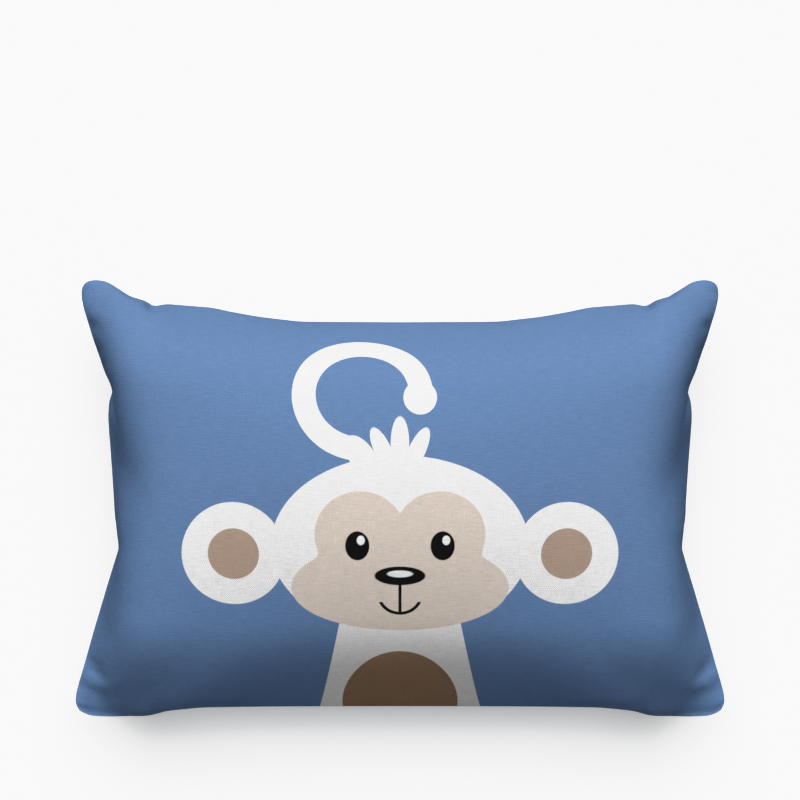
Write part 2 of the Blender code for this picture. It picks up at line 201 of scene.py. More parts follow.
# Along the zip the rings are the lip's outer edge, its inner edge and its hem. Past its ends the last two
# come together while the share of the zip's shape falls from LIP_CLOSING to nothing.
LIP_OUTER_EDGE = 3.6 * MM
LIP_SEWN_GAP = 0.15 * MM
HEM_DEPTH, HEM_RISE = 0.75 * MM, 0.4 * MM
LIP_CLOSING = 0.15

# The insert: how many cells of its grid the casing and the fibre are narrower than the cover on each side,
# and how far they lie inside it. Each casing panel stands half a seam off the middle.
CASING_CELLS, CASING_INSET = 6, 2.5 * MM
FIBRE_CELLS, FIBRE_INSET = 7, 5 * MM
CASING_HALF_SEAM = 0.3 * MM


# ---------------------------------------------------------------- cloth simulation


def smoothstep(low, high, value):
    share = np.clip((value - low) / (high - low), 0, 1)
    return share * share * (3 - 2 * share)


def evenly(line, count):
    """count + 1 points at equal distances along a dense line."""
    steps = np.linalg.norm(np.diff(line, axis=0), axis=1)
    along = np.concatenate([[0], np.cumsum(steps)])
    places = np.linspace(0, along[-1], count + 1)
    return np.stack([np.interp(places, along, line[:, axis]) for axis in range(2)], axis=1)


def seam_loop():
    """The filled cushion's seam, anticlockwise, as a point for each millimetre."""
    right = np.array(HALF_OUTLINE)
    left = right[-2:0:-1] * [-1, 1]
    corners = np.concatenate([right, left, right[:1]])
    length = np.linalg.norm(np.diff(corners, axis=0), axis=1).sum()
    loop = evenly(corners, round(length))[:-1]
    # A Gaussian rounds the corners and hardly moves the long gentle stretches.
    reach = 3 * OUTLINE_ROUNDING
    shifts = np.arange(-reach, reach + 1)
    weights = np.exp(-((shifts / OUTLINE_ROUNDING) ** 2))
    weights /= weights.sum()
    loop = sum(weight * np.roll(loop, shift, axis=0) for weight, shift in zip(weights, shifts))
    return loop * np.array([HALF_WIDTH, HALF_HEIGHT]) / np.abs(loop).max(axis=0)


def seam_sides(columns, rows):
    """The seam as four lines of points: bottom and top from -X, left and right from -Y."""
    loop = seam_loop()
    start = np.argmax(-loop[:, 0] - loop[:, 1])
    loop = np.roll(loop, -start, axis=0)
    ends = [0] + [np.argmax(loop @ towards) for towards in ((1, -1), (1, 1), (-1, 1))] + [len(loop)]
    loop = np.concatenate([loop, loop[:1]])
    low, east, high, west = (loop[a : b + 1] for a, b in zip(ends, ends[1:]))
    return evenly(low, columns), evenly(high[::-1], columns), evenly(west[::-1], rows), evenly(east, rows)


def start_shape(columns, rows):
    """Both sheets, spread inside the seam and domed."""
    bottom, top, left, right = seam_sides(columns, rows)
    s, t = np.meshgrid(np.linspace(0, 1, columns + 1), np.linspace(0, 1, rows + 1))
    s, t = s[..., None], t[..., None]
    across = (1 - s) * left[:, None] + s * right[:, None]
    upwards = (1 - t) * bottom[None] + t * top[None]
    corners = (1 - t) * ((1 - s) * bottom[0] + s * bottom[-1]) + t * ((1 - s) * top[0] + s * top[-1])
    cloth = np.zeros((2, rows + 1, columns + 1, 3))
    cloth[..., :2] = across + upwards - corners
    wide, tall = (1 - np.abs(2 * share - 1) ** START_CURVE for share in (s, t))
    dome = np.sqrt(np.clip(wide * tall, 0, 1))[..., 0]
    cloth[FRONT, ..., 2] = SEAM_Z + START_FRONT * dome
    cloth[BACK, ..., 2] = SEAM_Z - START_BACK * dome
    return cloth


def refined(cloth):
    """The same sheets with each cell cut into four."""
    _, rows, columns, _ = cloth.shape
    finer = np.empty((2, 2 * rows - 1, 2 * columns - 1, 3))
    finer[:, ::2, ::2] = cloth
    finer[:, 1::2, ::2] = (cloth[:, 1:] + cloth[:, :-1]) / 2
    finer[:, :, 1::2] = (finer[:, :, :-1:2] + finer[:, :, 2::2]) / 2
    return finer


def pull(cloth, first, second, length, stiffness, only_push=False):
    """Moves pairs of points towards their distance on the flat cloth. No point is in two of the pairs."""
    apart = cloth[second] - cloth[first]
    distance = np.sqrt((apart * apart).sum(-1, keepdims=True)) + TINY
    share = (distance - length) / distance * (0.5 * stiffness)
    if only_push:
        share = np.minimum(share, 0)
    cloth[first] += apart * share
    cloth[second] -= apart * share


def relax(cloth, cell, bend):
    """One pass over the threads both ways, the diagonals, and the cloth's resistance to folding."""
    every = slice(None)
    _, rows, columns, _ = cloth.shape
    for odd in (0, 1):
        last = columns - (columns - odd) % 2
        pull(cloth, (every, every, slice(odd, last, 2)), (every, every, slice(odd + 1, last, 2)), cell, 1)
        last = rows - (rows - odd) % 2
        pull(cloth, (every, slice(odd, last, 2)), (every, slice(odd + 1, last, 2)), cell, 1)
        lower, upper = slice(odd, last, 2), slice(odd + 1, last, 2)
        diagonal = cell * math.sqrt(2)
        pull(cloth, (every, lower, slice(0, -1)), (every, upper, slice(1, None)), diagonal, SHEAR)
        pull(cloth, (every, lower, slice(1, None)), (every, upper, slice(0, -1)), diagonal, SHEAR)
    for start in range(4):
        across = np.arange(start, columns - 2, 4)
        pull(cloth, (every, every, across), (every, every, across + 2), 2 * cell, bend, only_push=True)
        along = np.arange(start, rows - 2, 4)
        pull(cloth, (every, along), (every, along + 2), 2 * cell, bend, only_push=True)


def outward_normals(cloth):
    """Normals of both sheets, out of the cushion. Each is as long as its cell's area is large."""
    normal = np.cross(np.gradient(cloth, axis=2), np.gradient(cloth, axis=1))
    normal[BACK] *= -1
    return normal


def unit(vectors):
    return vectors / (np.linalg.norm(vectors, axis=-1, keepdims=True) + TINY)


def inflate():
    """The two sheets, sewn along the seam and filled, worked out on finer and finer grids."""
    generator = np.random.default_rng(SEED)
    columns, rows = COLUMNS, ROWS
    cloth = start_shape(columns, rows)
    for level, (steps, bend) in enumerate(zip(STEPS, BEND)):
        if level > 0:
            cloth = refined(cloth)
            columns, rows = 2 * columns, 2 * rows
        cell = FLAT_WIDTH / columns
        inside = cloth[:, 1:-1, 1:-1]
        inside += generator.normal(0, JITTER * cell, inside.shape)
        edge, target, hold, lift = seam_rules(columns, rows)
        speed = np.zeros_like(cloth)
        for _ in range(steps):
            before = cloth.copy()
            cloth += (speed + outward_normals(cloth) * PRESSURE) * DAMPING
            relax(cloth, cell, bend)
            seam = (cloth[FRONT][edge] + cloth[BACK][edge]) / 2
            seam += (target - seam) * hold
            cloth[FRONT][edge] = seam + lift
            cloth[BACK][edge] = seam - lift
            cloth[..., 2] = np.maximum(cloth[..., 2], LOWEST)
            speed = cloth - before
    return creased(filled_out(calmed(cloth)))


def diffused(line, passes):
    """A line of points, smoothed between its ends. The points run along the last axis but one."""
    line = line.copy()
    for _ in range(passes):
        line[..., 1:-1, :] += ((line[..., 2:, :] + line[..., :-2, :]) / 2 - line[..., 1:-1, :]) * DENT_RATE
    return line


def from_edge(count):
    """How many cells each row or column of a grid is from the nearer edge."""
    return np.minimum(np.arange(count), count - 1 - np.arange(count))


def seam_dents(cloth):
    """The seam's own small dents, carried into the cloth as folds that fade out."""
    _, rows, columns, _ = cloth.shape
    cell = FLAT_WIDTH / (columns - 1)
    fade_x, fade_y = (np.exp(-from_edge(count) * cell / FOLD) for count in (columns, rows))
    dents = np.zeros_like(cloth)
    for side in (0, -1):
        upright, level = cloth[:, :, side], cloth[:, side]
        share_x = ((np.arange(columns) < columns / 2) == (side == 0)) * fade_x
        share_y = ((np.arange(rows) < rows / 2) == (side == 0)) * fade_y
        dents += (upright - diffused(upright, DENT_PASSES))[:, :, None] * share_x[None, None, :, None]
        dents += (level - diffused(level, DENT_PASSES))[:, None] * share_y[None, :, None, None]
    return dents


def calmed(cloth):
    """Lets out the small folds beside the seam. Smoothing along the seam only keeps the fall to it."""
    _, rows, columns, _ = cloth.shape
    cell = FLAT_WIDTH / (columns - 1)
    row, column = from_edge(rows)[:, None], from_edge(columns)[None, :]
    dents = seam_dents(cloth)
    calm = cloth - dents
    corner = 1 - smoothstep(*CALM_CORNER, np.hypot(row, column))
    along_x = np.maximum(smoothstep(CALM_START, CALM_FULL, column * cell), corner)[1:-1, 1:-1, None]
    along_y = np.maximum(smoothstep(CALM_START, CALM_FULL, row * cell), corner)[1:-1, 1:-1, None]
    inside = calm[:, 1:-1, 1:-1]
    for _ in range(CALM_PASSES):
        x_pull = (calm[:, 1:-1, 2:] + calm[:, 1:-1, :-2]) / 2 - inside
        y_pull = (calm[:, 2:, 1:-1] + calm[:, :-2, 1:-1]) / 2 - inside
        inside += CALM_RATE * (x_pull * along_x + y_pull * along_y)
    return calm + dents


def filled_out(cloth):
    """Both sheets with the corners plumped up, and the front's flanks and middle raised."""
    _, rows, columns, _ = cloth.shape
    cell = FLAT_WIDTH / (columns - 1)
    row, column = from_edge(rows)[:, None] * cell, from_edge(columns)[None, :] * cell
    full = cloth.copy()
    away = np.hypot(column - PLUMP_INSET, row - PLUMP_INSET)
    plump = PLUMP_HEIGHT * np.exp(-((away / PLUMP_RADIUS) ** 2))
    plump = plump * smoothstep(0, PLUMP_CLEAR, np.minimum(row, column))
    full[FRONT, ..., 2] += plump
    full[BACK, ..., 2] -= plump
    fade_x, fade_y = smoothstep(*FLANK_FADE, column), smoothstep(*FLANK_FADE, row)
    side = flank(column) * fade_y * FLANK_SIDE_RISE
    bottom = flank(np.arange(rows)[:, None] * cell) * fade_x * FLANK_BOTTOM_RISE
    outwards = np.sign(np.arange(columns) - (columns - 1) / 2)
    full[FRONT, ..., 2] += np.maximum(side, bottom)
    full[FRONT, ..., 0] += FLANK_LEAN * side * outwards
    full[FRONT, ..., 2] += FRONT_RISE * smoothstep(0, FRONT_RISE_WIDTH, column) * fade_y
    return full


def flank(from_seam):
    """How much of a flank's rise there is at a distance from the seam along the cloth."""
    bump = np.exp(-(((from_seam - FLANK_INSET) / FLANK_RADIUS) ** 2))
    return bump * smoothstep(0, FLANK_CLEAR, from_seam)


def creased(cloth):
    """Both sheets with the soft creases pressed into them. The seam itself stays where it is."""
    _, rows, columns, _ = cloth.shape
    flat = flat_uvs(rows, columns) / MM
    place = np.stack([np.abs(flat[..., 0]), flat[..., 1]], axis=-1)
    depth = np.zeros((rows, columns))
    for start, end, deepest in CREASES:
        start, run = np.array(start), np.subtract(end, start)
        share = np.clip((place - start) @ run / (run @ run), 0, 1)
        away = np.linalg.norm(place - start - share[..., None] * run, axis=-1)
        depth += deepest * (1 - smoothstep(0.3, 1, share)) * np.exp(-((away / CREASE_WIDTH) ** 2))
    from_seam = (np.array([FLAT_WIDTH, FLAT_HEIGHT]) / 2 - np.abs(flat) * MM).min(axis=-1)
    depth *= smoothstep(0, CREASE_CLEAR, from_seam) * MM
    shaped = cloth - unit(outward_normals(cloth)) * depth[..., None]
    shaped[..., 2] = np.maximum(shaped[..., 2], LOWEST)
    return shaped


def seam_rules(columns, rows):
    """For the seam's points: which they are, where they belong, how firmly, and half the zip's opening."""
    bottom, top, left, right = seam_sides(columns, rows)
    target = np.zeros((rows + 1, columns + 1, 3))
    target[..., 2] = SEAM_Z
    target[0, :, :2], target[-1, :, :2], target[:, 0, :2], target[:, -1, :2] = bottom, top, left, right
    zipped = np.zeros((rows + 1, columns + 1))
    zipped[0] = 1 - smoothstep(ZIP_STRAIGHT, ZIP_FADE_END, np.abs(bottom[:, 0]))
    hold = np.zeros((rows + 1, columns + 1, 3))
    hold[..., :2] = (SEAM_HOLD_PLAN + (1 - SEAM_HOLD_PLAN) * zipped)[..., None]
    hold[..., 2] = SEAM_HOLD_HEIGHT + (1 - SEAM_HOLD_HEIGHT) * zipped
    for corner in ((0, 0), (0, -1), (-1, 0), (-1, -1)):
        hold[corner] = CORNER_HOLD
    edge = np.ones((rows + 1, columns + 1), bool)
    edge[1:-1, 1:-1] = False
    lift = zipped[edge][:, None] * np.array([0, 0, ZIP_RIM])
    return edge, target[edge], hold[edge], lift


# ---------------------------------------------------------------- meshes


def grid_object(name, points, uvs, inside_out=False):
    """A mesh from a grid of points, with its place on the flat cloth, in metres, as its UV map."""
    rows, columns, _ = points.shape
    index = np.arange(rows * columns).reshape(rows, columns)
    faces = np.stack([index[:-1, :-1], index[:-1, 1:], index[1:, 1:], index[1:, :-1]], axis=-1).reshape(-1, 4)
    if inside_out:
        faces = faces[:, ::-1]
    mesh = bpy.data.meshes.new(name)
    mesh.from_pydata(points.reshape(-1, 3).tolist(), [], faces.tolist())
    layer = mesh.uv_layers.new(name="cloth")
    layer.data.foreach_set("uv", uvs.reshape(-1, 2)[faces.ravel()].ravel())
    mesh.shade_smooth()
    made = bpy.data.objects.new(name, mesh)
    bpy.context.scene.collection.objects.link(made)
    return made


def curve_object(name, lines, thickness, sides=1, closed=False):
    """Round threads or wires along lines of points."""
    curve = bpy.data.curves.new(name, "CURVE")
    curve.dimensions = "3D"
    for line in lines:
        spline = curve.splines.new("POLY")
        spline.points.add(len(line) - 1)
        for point, place in zip(spline.points, line):
            point.co = (*place, 1)
        spline.use_cyclic_u = closed
        spline.use_smooth = True
    curve.bevel_depth = thickness / 2
    curve.bevel_resolution = sides
    curve.use_fill_caps = True
    made = bpy.data.objects.new(name, curve)
    bpy.context.scene.collection.objects.link(made)
    return made


def flat_uvs(rows, columns):
    """Where the points of a sheet's grid lie on the flat cloth, from its middle."""
    u = np.linspace(-FLAT_WIDTH / 2, FLAT_WIDTH / 2, columns)
    v = np.linspace(-FLAT_HEIGHT / 2, FLAT_HEIGHT / 2, rows)
    return np.stack(np.meshgrid(u, v), axis=-1)


def add_piece(piece, body, slot, material, *replaced):
    piece.data.materials.append(material)
    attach(piece, body)
    if replaced:
        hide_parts(*replaced)
    return piece


def turned_in(points, uvs, side):
    """The sheet with three more rows all round: the seam's edge and allowance, or the zip's lip and hem."""
    up = 1 if side == FRONT else -1
    rows, columns, _ = points.shape
    wide = np.pad(points, ((3, 3), (3, 3), (0, 0)), mode="edge")
    wide_uvs = np.pad(uvs, ((3, 3), (3, 3), (0, 0)), mode="edge")
    middle = np.array([0, 0, SEAM_Z])
    # Which ring outside the sheet each point is on, 0 for the sheet itself.
    ring_row, ring_column = (np.maximum(3 - from_edge(count + 6), 0) for count in (rows, columns))
    ring = np.maximum(ring_row[:, None], ring_column[None, :])
    inwards = middle - wide
    inwards[..., 2] = 0
    # Inwards is straight across each side, and along the diagonal at its corners.
    inwards = np.stack([np.sign(inwards[..., 0]), np.sign(inwards[..., 1]), 0 * inwards[..., 0]], axis=-1)
    inwards[..., 0] *= ring_column[None, :] > 0
    inwards[..., 1] *= ring_row[:, None] > 0
    # The allowance is trimmed away at the corners, where it would show through.
    corner_distance = np.hypot(np.abs(wide[..., 0]) - HALF_WIDTH, np.abs(wide[..., 1]) - HALF_HEIGHT)
    kept = smoothstep(*TRIM, corner_distance) * (1 - TRIM_SHARE) + TRIM_SHARE
    allowance = np.array(RING_INSET)[ring] * kept * MM
    gap = np.array(RING_GAP)[ring] * kept * MM
    out = wide + inwards * allowance[..., None]
    out[..., 2] = wide[..., 2] + up * gap
    wide_uvs = wide_uvs - inwards[..., :2] * allowance[..., None]
    # Along the zip the three rows run over the lip's edge and back behind it.
    zipped = 1 - smoothstep(ZIP_STRAIGHT, ZIP_FADE_END, np.abs(wide[..., 0]))
    zipped = zipped * (ring_row[:, None] > 0) * (ring_column[None, :] == 0) * (wide[..., 1] < 0)
    slit = SLIT_HALF * (1 - smoothstep(SLIT_END, SLIT_SEWN, np.abs(wide[..., 0]))) + LIP_SEWN_GAP
    height = np.select([ring == 1, ring == 2, ring == 3], [LIP_OUTER_EDGE, slit, slit + HEM_RISE], 0)
    lip = out.copy()
    lip[..., 1] = LIP_Y + HEM_DEPTH * (ring == 3)
    lip[..., 2] = SEAM_Z + up * height
    share = np.repeat(zipped[..., None], 3, axis=-1)
    # Past the zip's ends the lips come together at once, while the rims that cover them close slowly.
    share[..., 2] = np.where(ring > 1, smoothstep(0, LIP_CLOSING, zipped), zipped)
    return out + (lip - out) * share, wide_uvs


def knife_edge(points):
    """Flattens the last few millimetres towards the seam, as the allowance inside a turned seam does."""
    rows, columns, _ = points.shape
    cell = FLAT_WIDTH / (columns - 1)
    row, column = from_edge(rows)[:, None], from_edge(columns)[None, :]
    bottom = (np.arange(rows)[:, None] * cell < KNIFE_ZIP_ROWS) & (row <= column)
    zipped = (1 - smoothstep(ZIP_STRAIGHT, ZIP_FADE_END, np.abs(points[..., 0]))) * bottom
    flat = (1 - smoothstep(0, KNIFE_WIDTH, np.minimum(row, column) * cell)) * (1 - zipped)
    shaped = points.copy()
    shaped[..., 2] += (SEAM_Z - points[..., 2]) * KNIFE_SHARE * flat
    return shaped


def cover(filled, printed, plain):
    """The two panels of the cover."""
    uvs = flat_uvs(*filled.shape[1:3])
    for side, name, node, material in (
        (FRONT, "cover_front_cloth", "front_panel", printed),
        (BACK, "cover_back_cloth", "back_panel", plain),
    ):
        points, laid = turned_in(knife_edge(filled[side]), uvs, side)
        piece = grid_object(name, points, laid, inside_out=side == BACK)
        finer = piece.modifiers.new("finer", "SUBSURF")
        finer.levels = finer.render_levels = 1
        finer.boundary_smooth = "PRESERVE_CORNERS"
        slot = "printed_cloth" if side == FRONT else "plain_cloth"
        add_piece(piece, "cover", slot, material, node)


def shrunk(grid, cells, inset):
    """Both sheets of a bag inside the cover, with cells fewer on each side, and inset further in all over."""
    inner = (grid - unit(outward_normals(grid)) * inset)[:, cells:-cells, cells:-cells].copy()
    _, rows, columns, _ = inner.shape
    ring = np.minimum.outer(from_edge(rows), from_edge(columns))
    rise = np.sin(np.minimum(ring / 3, 1) * math.pi / 2)
    inner[..., 2] = SEAM_Z + (inner[..., 2] - SEAM_Z) * rise
    edge = ring == 0
    middle = (inner[FRONT][edge] + inner[BACK][edge]) / 2
    inner[FRONT][edge] = middle
    inner[BACK][edge] = middle
    return inner


def insert(coarse, casing, fibre):
    """The casing's two panels and the fibre in it, on every other point of the cover's grid."""
    bag = shrunk(coarse, CASING_CELLS, CASING_INSET)
    uvs = flat_uvs(*bag.shape[1:3])
    for side, label, up in ((FRONT, "front", 1), (BACK, "back", -1)):
        points = bag[side].copy()
        points[..., 2] += up * CASING_HALF_SEAM
        piece = grid_object("insert_cloth_" + label, points, uvs, inside_out=side == BACK)
        add_piece(piece, "cover", "casing_cloth", casing, "insert_casing_" + label)
    piece = closed_skin("insert_fill", *shrunk(coarse, FIBRE_CELLS, FIBRE_INSET))
    add_piece(piece, "cover", "polyester_fibre", fibre, "fibre_fill")


def closed_skin(name, front, back):
    """A closed mesh from two grids that share their outlines."""
    rows, columns, _ = front.shape
    index = np.arange(rows * columns).reshape(rows, columns)
    other = index + rows * columns
    other[0], other[-1] = index[0], index[-1]
    other[:, 0], other[:, -1] = index[:, 0], index[:, -1]
    faces = []
    for grid, order in ((index, 1), (other, -1)):
        quads = np.stack([grid[:-1, :-1], grid[:-1, 1:], grid[1:, 1:], grid[1:, :-1]], axis=-1).reshape(-1, 4)
        faces += quads[:, ::order].tolist()
    mesh = bpy.data.meshes.new(name)
    mesh.from_pydata(np.concatenate([front.reshape(-1, 3), back.reshape(-1, 3)]).tolist(), [], faces)
    # The back sheet's own outline is left without faces.
    working = bmesh.new()
    working.from_mesh(mesh)
    loose = [vertex for vertex in working.verts if not vertex.link_faces]
    bmesh.ops.delete(working, geom=loose, context="VERTS")
    working.to_mesh(mesh)
    working.free()
    mesh.shade_smooth()
    made = bpy.data.objects.new(name, mesh)
    bpy.context.scene.collection.objects.link(made)
    return made


# ---------------------------------------------------------------- materials


class Nodes:
    """Short names for the nodes of one material."""

    def __init__(self, name):
        self.material = bpy.data.materials.new(name)
        self.material.use_nodes = True
        self.tree = self.material.node_tree
        self.shader = self.tree.nodes["Principled BSDF"]

    def link(self, value, socket):
        if isinstance(value, bpy.types.NodeSocket):
            self.tree.links.new(value, socket)
        else:
            socket.default_value = value

    def math(self, operation, first, second=0.0, third=0.0):
        node = self.tree.nodes.new("ShaderNodeMath")
        node.operation = operation
        for value, socket in zip((first, second, third), node.inputs):
            self.link(value, socket)
        return node.outputs[0]

    def add(self, first, second):
        return self.math("ADD", first, second)

    def minus(self, first, second):
        return self.math("SUBTRACT", first, second)

    def times(self, first, second):
        return self.math("MULTIPLY", first, second)

    def least(self, first, second):
        return self.math("MINIMUM", first, second)

    def most(self, first, second):
        return self.math("MAXIMUM", first, second)

    def size(self, first, second):
        """The length of the vector (first, second)."""
        return self.math("SQRT", self.add(self.times(first, first), self.times(second, second)))

    def mix(self, share, first, second):
        node = self.tree.nodes.new("ShaderNodeMix")
        node.data_type = "RGBA"
        self.link(share, node.inputs["Factor"])
        self.link(first, node.inputs["A"])
        self.link(second, node.inputs["B"])
        return node.outputs["Result"]

    def noise(self, vector, scale, detail=2.0):
        node = self.tree.nodes.new("ShaderNodeTexNoise")
        self.link(vector, node.inputs["Vector"])
        node.inputs["Scale"].default_value = scale
        node.inputs["Detail"].default_value = detail
        return node.outputs["Fac"]

    def vector(self, x, y, z=0.0):
        node = self.tree.nodes.new("ShaderNodeCombineXYZ")
        for value, socket in zip((x, y, z), node.inputs):
            self.link(value, socket)
        return node.outputs[0]

    def cloth_place(self):
        """The place on the flat cloth, in millimetres from its middle."""
        uv = self.tree.nodes.new("ShaderNodeUVMap")
        uv.uv_map = "cloth"
        parts = self.tree.nodes.new("ShaderNodeSeparateXYZ")
        self.tree.links.new(uv.outputs[0], parts.inputs[0])
        return self.times(parts.outputs[0], 1000.0), self.times(parts.outputs[1], 1000.0)

    def bump(self, height, distance, strength=1.0):
        node = self.tree.nodes.new("ShaderNodeBump")
        node.inputs["Strength"].default_value = strength
        node.inputs["Distance"].default_value = distance
        self.link(height, node.inputs["Height"])
        return node.outputs[0]


class Print(Nodes):
    """A cloth material with shapes printed on it, in millimetres from the middle of the flat cloth."""

    EDGE = 0.5

    def __init__(self, name, ground):
        super().__init__(name)
        self.u, self.v = self.cloth_place()
        self.colour = (*ground, 1)

    def ellipse(self, u, v, half_width, half_height, turn=0.0):
        x, y = self.minus(self.u, u), self.minus(self.v, v)
        if turn:
            cosine, sine = math.cos(math.radians(turn)), math.sin(math.radians(turn))
            along = self.add(self.times(x, cosine), self.times(y, sine))
            x, y = along, self.minus(self.times(y, cosine), self.times(x, sine))
        size = self.size(self.math("DIVIDE", x, half_width), self.math("DIVIDE", y, half_height))
        return self.times(self.minus(size, 1), min(half_width, half_height))

    def ring(self, u, v, radius, half_width):
        away = self.size(self.minus(self.u, u), self.minus(self.v, v))
        return self.minus(self.math("ABSOLUTE", self.minus(away, radius)), half_width)

    def left_of(self, u):
        return self.minus(self.u, u)

    def below(self, v):
        return self.minus(self.v, v)

    def joined(self, *shapes):
        result = shapes[0]
        for shape in shapes[1:]:
            result = self.least(result, shape)
        return result

    def blended(self, first, second, width):
        return self.math("SMOOTH_MIN", first, second, width)

    def without(self, shape, hole):
        return self.most(shape, self.times(hole, -1))

    def paint(self, shape, colour):
        share = self.tree.nodes.new("ShaderNodeClamp")
        self.link(self.minus(0.5, self.math("DIVIDE", shape, self.EDGE)), share.inputs[0])
        self.colour = self.mix(share.outputs[0], self.colour, (*colour, 1))


BLUE = (0.113, 0.200, 0.376)
WHITE = (0.80, 0.80, 0.80)
BEIGE = (0.65, 0.57, 0.50)
EAR_BROWN = (0.385, 0.284, 0.223)
BELLY_BROWN = (0.275, 0.174, 0.107)
BLACK = (0.006, 0.006, 0.006)


def weave(nodes, colour, pitch=1.5, roughness=0.9):
    """A plain weave with uneven threads, seen in the colour and in the relief."""
    u, v = nodes.cloth_place()
    across = nodes.noise(nodes.vector(nodes.times(u, 0.12), nodes.times(v, 1.6)), 1.0, 3.0)
    along = nodes.noise(nodes.vector(nodes.times(u, 1.6), nodes.times(v, 0.12), 7.0), 1.0, 3.0)
    slubs = nodes.minus(nodes.add(nodes.times(across, 0.65), nodes.times(along, 0.35)), 0.5)
    # The threads run a little unevenly: a noise shifts them by up to a millimetre or so along the cloth.
    unevenness = nodes.noise(nodes.vector(nodes.times(u, 0.05), nodes.times(v, 0.4), 3.0), 1.0, 2.0)
    drift = nodes.times(unevenness, 2.0)
    turn = 2 * math.pi / pitch
    weft = nodes.math("SINE", nodes.times(nodes.add(u, drift), turn))
    warp = nodes.math("SINE", nodes.times(nodes.add(v, drift), turn))
    threads = nodes.times(weft, warp)
    shade = nodes.add(1.0, nodes.add(nodes.times(slubs, 0.7), nodes.times(threads, 0.2)))
    tinted = nodes.tree.nodes.new("ShaderNodeVectorMath")
    tinted.operation = "SCALE"
    nodes.link(colour, tinted.inputs[0])
    nodes.link(shade, tinted.inputs["Scale"])
    nodes.link(tinted.outputs[0], nodes.shader.inputs["Base Color"])
    relief = nodes.add(nodes.add(nodes.times(threads, 0.8), nodes.times(warp, 0.25)), nodes.times(slubs, 2.5))
    nodes.link(nodes.bump(relief, 0.15 * MM), nodes.shader.inputs["Normal"])
    nodes.shader.inputs["Roughness"].default_value = roughness
    nodes.shader.inputs["Specular IOR Level"].default_value = 0.02
    return nodes.material


def printed_cloth():
    """Blue cloth with a plain animal picture: a pale monkey from the front, with a curled tail behind."""
    cloth = Print("printed_cloth", BLUE)
    tail = cloth.without(
        cloth.ring(-27, 85, 42, 8.5),
        cloth.most(cloth.times(cloth.left_of(-31), -1), cloth.below(85)),
    )
    tail = cloth.joined(tail, cloth.ellipse(14.5, 82, 12, 13.5), cloth.ellipse(-27, 38, 9, 17, turn=35))
    cloth.paint(tail, WHITE)
    for side in (-1, 1):
        cloth.paint(cloth.ellipse(118 * side, -33, 37, 37), WHITE)
        cloth.paint(cloth.ellipse(118 * side, -33, 18.3, 18.3), EAR_BROWN)
    shoulders = cloth.minus(cloth.math("ABSOLUTE", cloth.u), cloth.add(26, cloth.times(cloth.v, -0.205)))
    torso = cloth.most(shoulders, cloth.below(-70))
    cloth.paint(torso, WHITE)
    cloth.paint(cloth.ellipse(0, -168, 44, 58), BELLY_BROWN)
    tuft = cloth.joined(
        cloth.ellipse(0, 47, 6.5, 20),
        cloth.ellipse(-12, 42, 6, 18, turn=24),
        cloth.ellipse(12, 42, 6, 18, turn=-24),
    )
    cloth.paint(cloth.joined(cloth.ellipse(0, -27, 91, 65.5), tuft), WHITE)
    lobes = cloth.joined(cloth.ellipse(-28, -18, 32, 31), cloth.ellipse(28, -18, 32, 31))
    cloth.paint(cloth.blended(lobes, cloth.ellipse(0, -57, 77, 34), 8), BEIGE)
    for side in (-1, 1):
        cloth.paint(cloth.ellipse(30 * side, -26, 8.5, 10.5), BLACK)
        cloth.paint(cloth.ellipse(30 * side + 2.5, -22, 2.8, 3.4), WHITE)
    smile = cloth.most(cloth.ring(0, -62, 15, 1.2), cloth.below(-68))
    stripe = cloth.minus(cloth.math("ABSOLUTE", cloth.u), 1.1)
    line = cloth.most(stripe, cloth.most(cloth.below(-50), cloth.times(cloth.below(-77), -1)))
    cloth.paint(cloth.joined(smile, line), BLACK)
    cloth.paint(cloth.ellipse(0, -48, 18, 7), BLACK)
    cloth.paint(cloth.ellipse(0, -46.5, 9, 2.6), WHITE)
    return weave(cloth, cloth.colour)


def plain_cloth(name, colour, pitch=1.0, roughness=0.85):
    nodes = Nodes(name)
    return weave(nodes, colour, pitch, roughness)


def object_place(nodes):
    """The place in the object, in millimetres."""
    place = nodes.tree.nodes.new("ShaderNodeTexCoord")
    scale = nodes.tree.nodes.new("ShaderNodeVectorMath")
    scale.operation = "SCALE"
    scale.inputs["Scale"].default_value = 1000.0
    nodes.tree.links.new(place.outputs["Object"], scale.inputs[0])
    return scale.outputs[0]


def spun_thread(name, colour):
    """Thread with the fine slanting lines of its twist."""
    nodes = Nodes(name)
    place = object_place(nodes)
    parts = nodes.tree.nodes.new("ShaderNodeSeparateXYZ")
    nodes.tree.links.new(place, parts.inputs[0])
    slant = nodes.add(nodes.add(parts.outputs[0], parts.outputs[1]), nodes.times(parts.outputs[2], 1.5))
    twist = nodes.math("SINE", nodes.times(slant, 14.0))
    shade = nodes.add(0.95, nodes.times(nodes.noise(place, 0.6), 0.1))
    tinted = nodes.tree.nodes.new("ShaderNodeVectorMath")
    tinted.operation = "SCALE"
    tinted.inputs[0].default_value = colour
    nodes.link(shade, tinted.inputs["Scale"])
    nodes.link(tinted.outputs[0], nodes.shader.inputs["Base Color"])
    nodes.link(nodes.bump(twist, 0.04 * MM), nodes.shader.inputs["Normal"])
    nodes.shader.inputs["Roughness"].default_value = 0.7
    nodes.shader.inputs["Sheen Weight"].default_value = 0.1
    return nodes.material


